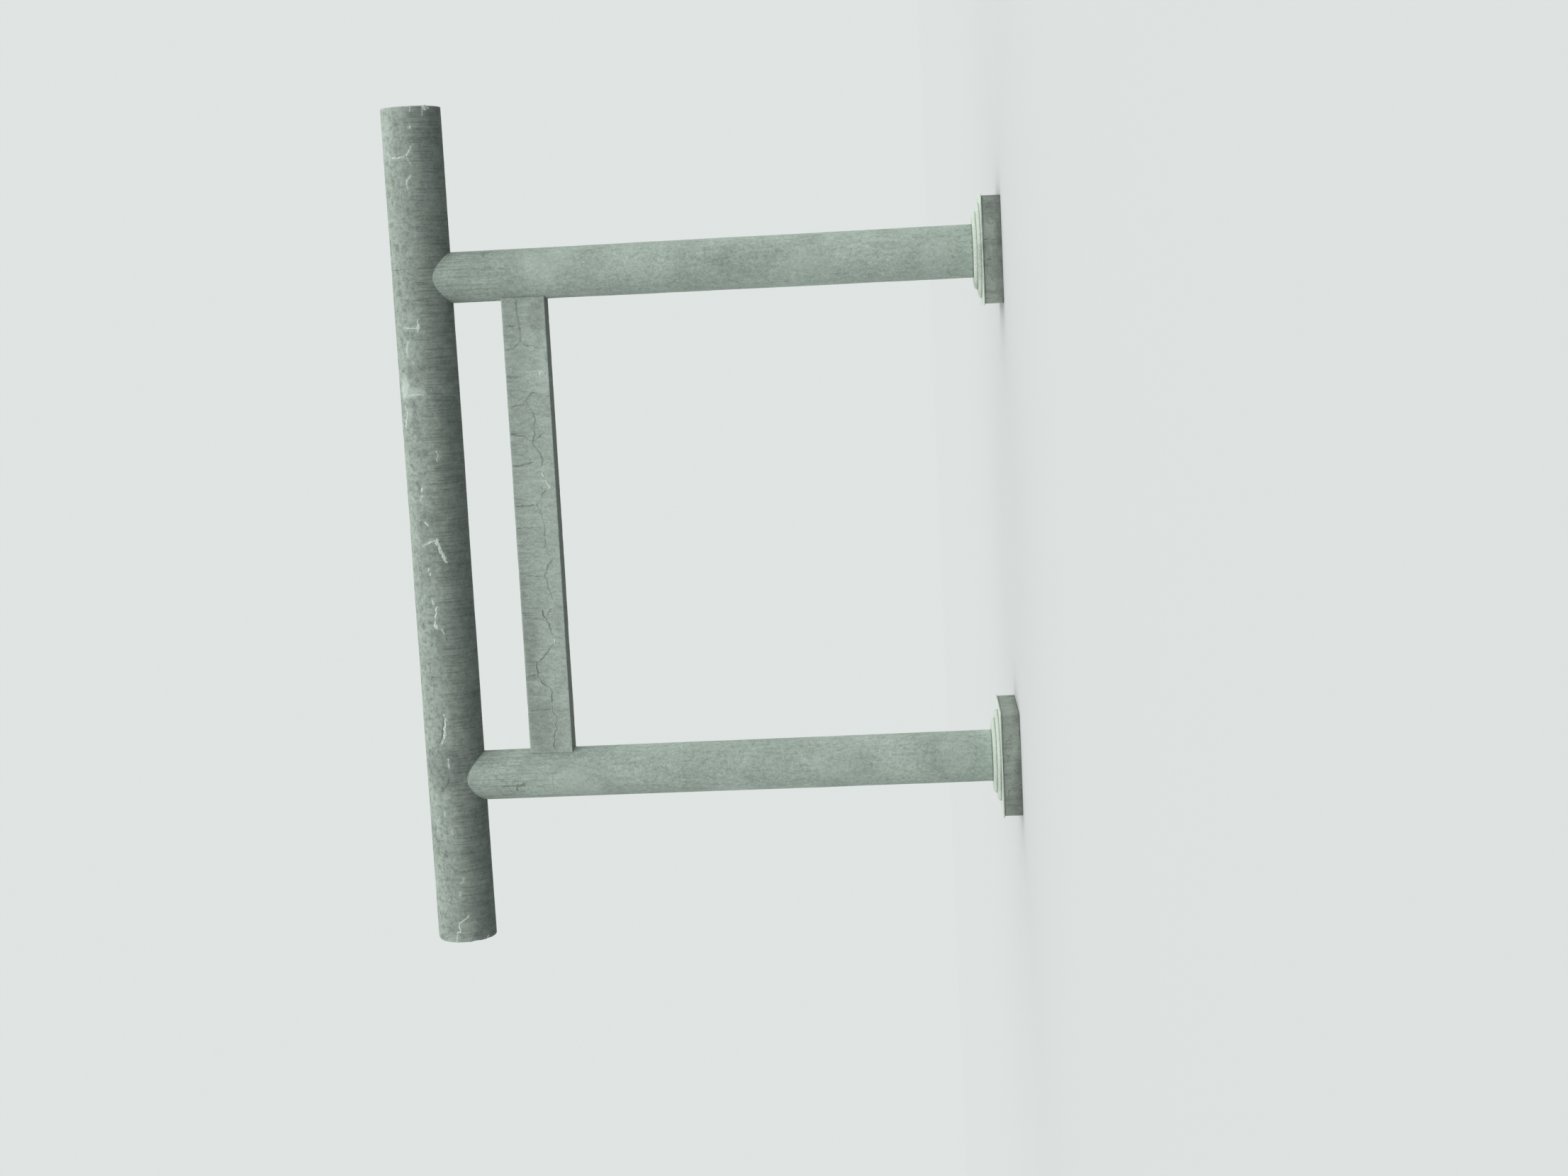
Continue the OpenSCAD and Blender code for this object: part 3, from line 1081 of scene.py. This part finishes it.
def build_pillar(side, material):
    """Tapered round shaft whose top is cut to the round of the log."""
    radii = np.linspace(0, FOOT_RADIUS, 14)
    rise = np.linspace(0, 1, round((PILLAR_HIGH.z - FOOT_Z) / PILLAR_STEP))
    outline = np.concatenate([radii[:-1], np.full(len(rise), FOOT_RADIUS), radii[-2::-1]])
    shares = np.concatenate([np.zeros(len(radii) - 1), rise, np.ones(len(radii) - 1)])
    points, normals, faces = lathe(outline, shares, PILLAR_STEP)
    share = points[:, 2]
    points[:, :2] *= (pillar_radius(shaft_z(share, points[:, 1])) / FOOT_RADIUS)[:, None]
    points[:, 2] = shaft_z(share, points[:, 1])
    points[:, 0] += SIDES[side] * PILLAR_X
    around = normals * (1, 1, 0)
    swell = relief(points, PILLAR_SEED) * np.linalg.norm(around, axis=1)
    mesh = points + swell[:, None] * around, faces
    layers = pillar_layers(points, side)
    add_piece(f"{side}_pillar_shaft", mesh, material, "pillar_concrete", f"{side}_pillar", **layers)


def pillar_layers(points, side):
    x, y, z = points.T
    angle = np.arctan2(PILLAR_X - SIDES[side] * x, -y)
    flat = np.column_stack([angle * FOOT_RADIUS, z])
    below_log = saddle_z(y) - z
    shoulder = smooth_step(-np.abs(y), -0.8 * HORN_RADIUS, -0.4 * HORN_RADIUS)
    grime = [
        # Painted shade in the crease at the pillar's foot
        0.6 * bell(z - FOOT_Z, FOOT_SHADE),
        # Dirt and painted shade just below the log, strongest on the pillar's shoulders
        (0.12 + 0.4 * shoulder) * np.exp(-below_log / HEAD_DIRT_AND_SHADE),
        0.3 * np.exp(-below_log / HEAD_STAIN),
        patches(flat, PILLAR_STAINS, pillar_route, PILLAR_SEED + 30),
    ]
    lime = patches(flat, PILLAR_WASHES, pillar_route, PILLAR_SEED + 40)
    return {"grime": np.maximum.reduce(grime), "lime": lime}


# Tie beam


def build_beam(material):
    points, normals, faces, arris = worn_block(BEAM_LOW, BEAM_HIGH, (BEAM_STEP,) * 3, BEAM_BEVEL)
    swell = relief(points, BEAM_SEED) - chips(points, arris, BEAM_CHIP, BEAM_SEED + 3)
    mesh = points + swell[:, None] * normals, faces
    add_piece("beam_block", mesh, material, "beam_concrete", "tie_beam", **beam_layers(points, arris))


def beam_layers(points, arris):
    x, y, z = points.T
    flat = np.column_stack([x, z - BEAM_LOW.z])
    meeting = PILLAR_X - np.sqrt(pillar_radius(BEAM_LOW.z) ** 2 - y**2)
    # Dirt and painted shade in the seams where the beam meets the pillars
    grime = 0.9 * bell(np.abs(x) - meeting, SEAM_DIRT_AND_SHADE)
    grime = np.maximum(grime, patches(flat, BEAM_STAINS, beam_route, BEAM_SEED + 70))
    lime = patches(flat, BEAM_WASHES, beam_route, BEAM_SEED + 50)
    return {"grime": grime, "lime": lime, "worn": np.exp(-arris / BEAM_WEAR)}


# Bases


def rounded_step(low, high, radius, edge_radius):
    """Outline of a round stone step whose upper edge is a quarter round."""
    turn = np.linspace(0, math.pi / 2, 9)
    flat = np.linspace(0, 1, 24)[:-1]
    wall = np.linspace(low.z, high.z - edge_radius, 4)[:-1]
    edge_r = radius - edge_radius + edge_radius * np.cos(turn)
    edge_z = high.z - edge_radius + edge_radius * np.sin(turn)
    radii = np.concatenate([flat * radius, np.full(len(wall), radius), edge_r, flat[::-1] * edge_r[-1]])
    heights = np.concatenate([np.full(len(flat), low.z), wall, edge_z, np.full(len(flat), high.z)])
    return radii, heights


def build_ring(side, level, edge_radius, material):
    node = f"{side}_{level}_ring"
    low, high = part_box(node)
    radius = (high.x - low.x) / 2
    points, normals, faces = lathe(*rounded_step(low, high, radius, edge_radius), BASE_STEP)
    rim = np.hypot(radius - np.hypot(points[:, 0], points[:, 1]), high.z - points[:, 2])
    points[:, 0] += SIDES[side] * PILLAR_X
    swell = RING_RELIEF * relief(points, BASE_SEED) - chips(points, rim, RING_CHIP, BASE_SEED + 4)
    mesh = points + swell[:, None] * normals, faces
    # Dirt and painted shade in the crevice at the ring's foot
    foot = 0.95 * bell(points[:, 2] - low.z, SEAM_DIRT_AND_SHADE)
    add_piece(f"{node}_stone", mesh, material, "base_stone", node, **base_layers(points, rim, foot))


def build_block(side, kind, slot, material):
    node = f"{side}_{kind}"
    low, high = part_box(node)
    steps = (BASE_STEP, BASE_STEP, min(BASE_STEP, (high.z - low.z) / 4))
    points, normals, faces, arris = worn_block(low, high, steps, BLOCK_BEVELS[kind])
    swell = BLOCK_RELIEF * relief(points, BASE_SEED + 8)
    swell -= chips(points, arris, BLOCK_CHIPS[kind], BASE_SEED + 9)
    mesh = points + swell[:, None] * normals, faces
    # A footing's damp stains and painted shadow
    stains_and_shade = footing_stains_and_shade(points, side) if kind == "footing" else 0
    add_piece(f"{node}_block", mesh, material, slot, node, **base_layers(points, arris, stains_and_shade))


def base_dirt(points):
    return 0.5 * smooth_step(fractal(points, BLOTCH_SIZE, 4, BASE_SEED + 30), 0.35, 1.0)


# Damp stains and painted shadow on a footing
def footing_stains_and_shade(points, side):
    flat = np.column_stack([PILLAR_X - SIDES[side] * points[:, 0], points[:, 2]])
    return patches(flat, FOOTING_STAINS_AND_SHADE, plain_route, BASE_SEED + 50)


def base_layers(points, arris, stains_and_shade):
    # Dirt blotches, and the stains, dirt and painted shade passed in
    grime = np.maximum(base_dirt(points), stains_and_shade)
    return {"grime": grime, "worn": 0.5 * np.exp(-arris / BASE_WEAR)}


def build_bases():
    ring = base_stone("ring_stone", RING_COLOR, SLAB_HIGH.z, FOOT_Z)
    slab = base_stone("slab_stone", SLAB_COLOR, SLAB_LOW.z, SLAB_HIGH.z)
    footing = footing_concrete()
    for side in SIDES:
        for level, edge_radius in RING_ROUNDS.items():
            build_ring(side, level, edge_radius, ring)
        build_block(side, "base_slab", "base_stone", slab)
        build_block(side, "footing", "footing_concrete", footing)
        build_footing_marks(side, footing)


# Cracks and crusts


def build_strips(name, rows, material, slot, dirt_and_shade_at=None):
    """Dirty strips as one piece, from rows for dirty_strip; their surface may have dirt and painted shade
    of its own.
    """
    strips, dirt = zip(*(dirty_strip(*row) for row in rows))
    mesh, grime = joined(strips), np.concatenate(dirt)
    if dirt_and_shade_at:
        grime = np.maximum(grime, dirt_and_shade_at(mesh[0]))
    add_piece(name, mesh, material, slot, grime=grime)


def both_faces(host, route):
    """Skin and flat route on the front of the log or the beam, and then on its back.

    The beam's cracks go through it. The log's back has its front's marks turned half round.
    """
    if host == "beam":
        return [(beam_skin(face), beam_route(route)) for face in FACES.values()]
    front = log_route(route)
    return [(log_skin, front), (log_skin, log_back(front))]


def build_cracks(host, cracks, material):
    """Cracks' clefts, and the dirty strips that they run in."""
    clefts, strips = [], []
    for width, strength, route in cracks:
        for skin, places in both_faces(host, route):
            seed = CRACK_SEEDS[host] + len(clefts)
            clefts.append(cleft(skin, places, width * MM, seed))
            strips.append((skin, places, CRACK_DIRT_WIDTH, strength, seed))
    slot = f"{host}_concrete"
    add_piece(f"{host}_clefts", joined(clefts), cleft_shadow(f"{host}_cleft"), slot)
    build_strips(f"{host}_crack_dirt", strips, material, slot)


def build_crusts(host, crusts, material):
    parts = []
    for number, (width, route) in enumerate(crusts):
        for (skin, places), (seed, step) in zip(both_faces(host, route), CRUST_SEEDS[host]):
            parts.append(crust(skin, places, width * MM, seed + step * number))
    add_piece(f"{host}_crusts", joined(parts), material, f"{host}_concrete")


def build_pillar_marks(side, material):
    """The left pillar's front marks, and the same ones turned round each pillar for its other sides."""
    strips = []
    for number, (width, strength, route) in enumerate(PILLAR_MARKS):
        for turn in PILLAR_MARK_TURNS[side]:
            skin = pillar_skin(side, math.radians(turn))
            seed = PILLAR_SEED + 1000 * number + turn
            strips.append((skin, pillar_route(route), width * MM, strength, seed))
    build_strips(f"{side}_pillar_marks", strips, material, "pillar_concrete")


def build_footing_marks(side, material):
    strips = []
    for seed, (width, strength, route) in enumerate(FOOTING_MARKS, BASE_SEED + 60):
        for face in FACES.values():
            strips.append((footing_skin(side, face), plain_route(route), width * MM, strength, seed))

    def dirt_and_shade_at(points):
        # Dirt, damp stains and painted shadow of the footing under its marks
        return np.maximum(base_dirt(points), footing_stains_and_shade(points, side))

    build_strips(f"{side}_footing_marks", strips, material, "footing_concrete", dirt_and_shade_at)


# Stage


def add_floor():
    """Pale to the camera; dull to the light that it throws back up, as paving is."""
    bpy.ops.mesh.primitive_plane_add(size=2 * FLOOR_REACH)
    floor = bpy.context.object
    floor.name = "floor"
    s = Shade("floor", 1.0, 0.0)
    s.feed(s.shader.inputs["Base Color"], s.mix(s.seen_directly(), FLOOR_BOUNCE, FLOOR_COLOR))
    floor.data.materials.append(s.material)


def add_world():
    """Overcast studio light: brighter from above and a little from the right, with a pale backdrop."""
    world = bpy.data.worlds.new("world")
    bpy.context.scene.world = world
    w = Nodes(world, "Generated")
    level = w.math("MULTIPLY_ADD", w.z, LIGHT_LIFT, LIGHT_LEVEL)
    level = w.math("MULTIPLY_ADD", w.x, LIGHT_SIDE, level)
    seen = w.seen_directly()
    unseen = w.math("SUBTRACT", 1.0, seen)
    background = w.nodes["Background"]
    w.feed(background.inputs["Color"], w.mix(seen, WHITE, BACKDROP_COLOR))
    w.feed(background.inputs["Strength"], w.math("MULTIPLY_ADD", unseen, level, seen))


add_camera()
add_floor()
add_world()
log_material = log_concrete()
pillar_material = pillar_concrete()
beam_material = beam_concrete()
build_top_log(log_material)
for side_name in SIDES:
    build_pillar(side_name, pillar_material)
build_beam(beam_material)
build_bases()
build_cracks("beam", BEAM_CRACKS, beam_material)
build_cracks("log", LOG_CRACKS, log_material)
for side_name in SIDES:
    build_pillar_marks(side_name, pillar_material)
lime_material = lime_deposit()
build_crusts("log", LOG_CRUSTS, lime_material)
build_crusts("beam", BEAM_CRUSTS, lime_material)

bpy.context.scene.view_settings.view_transform = "Standard"
